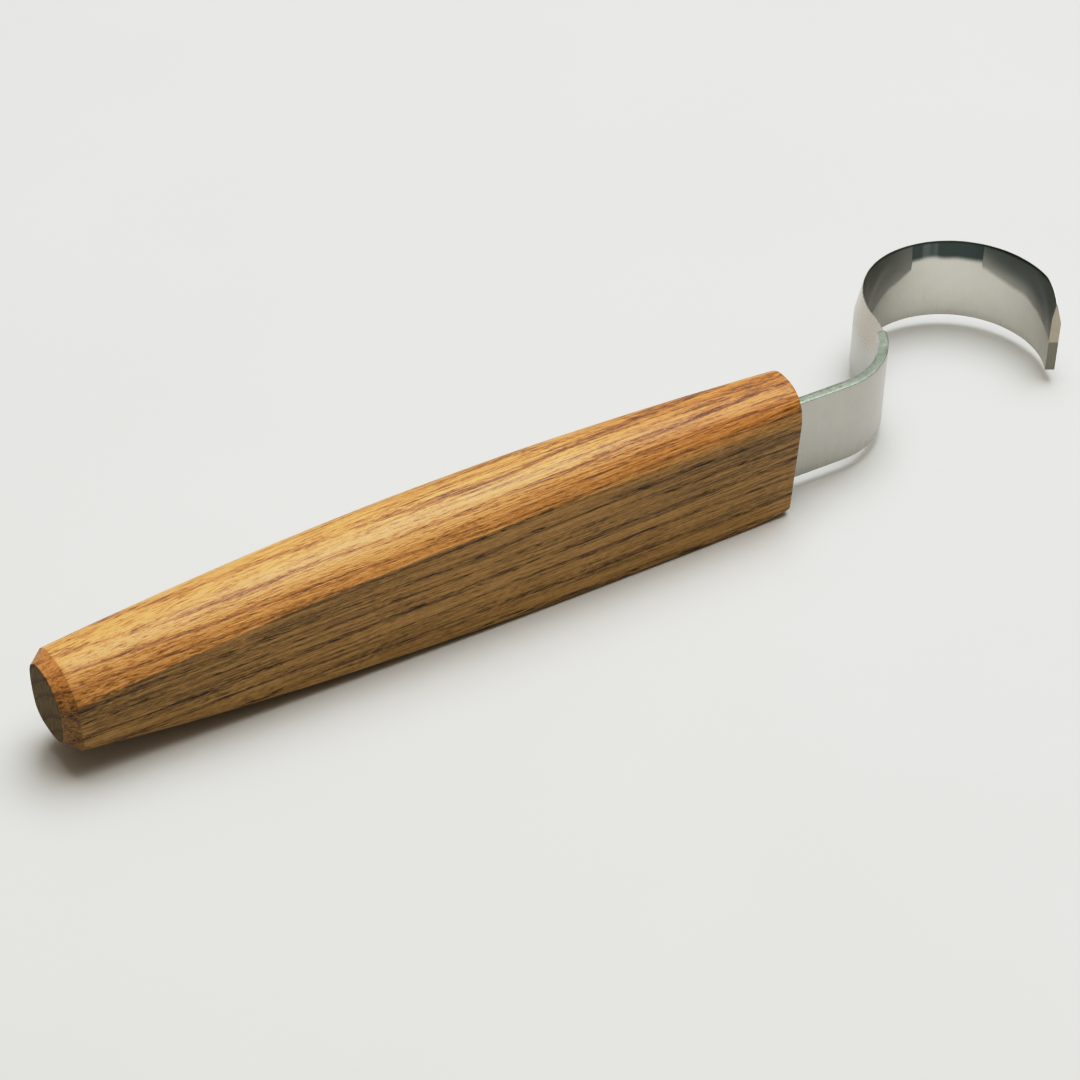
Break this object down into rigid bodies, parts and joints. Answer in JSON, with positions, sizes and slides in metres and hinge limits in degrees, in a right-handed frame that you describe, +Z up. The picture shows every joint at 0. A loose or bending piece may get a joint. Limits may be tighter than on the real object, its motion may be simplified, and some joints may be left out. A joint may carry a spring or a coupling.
{
  "type": "hook knife",
  "caption": "Spoon-carving hook knife: a bent steel strip with a bevelled open hook, glued into a slim one-piece oak handle with a rounded top and a flat underside.",
  "frame": {"origin": "middle of the flat underside of the handle, below the plane of the steel strip", "axes": "+X along the handle towards the hook, +Z up out of the flat underside and across the width of the strip, +Y to the side that the hook bends to"},
  "size_m": [0.1742, 0.0319, 0.0237],
  "materials": {
    "steel": "satin ground, fine brush lines across the strip",
    "oak": "oiled oak, grain along the handle, satin",
    "adhesive": "cured amber epoxy"
  },
  "bodies": {
    "root": {"blade": "steel", "handle": "oak", "tang_adhesive": "adhesive"}
  },
  "joints": []
}
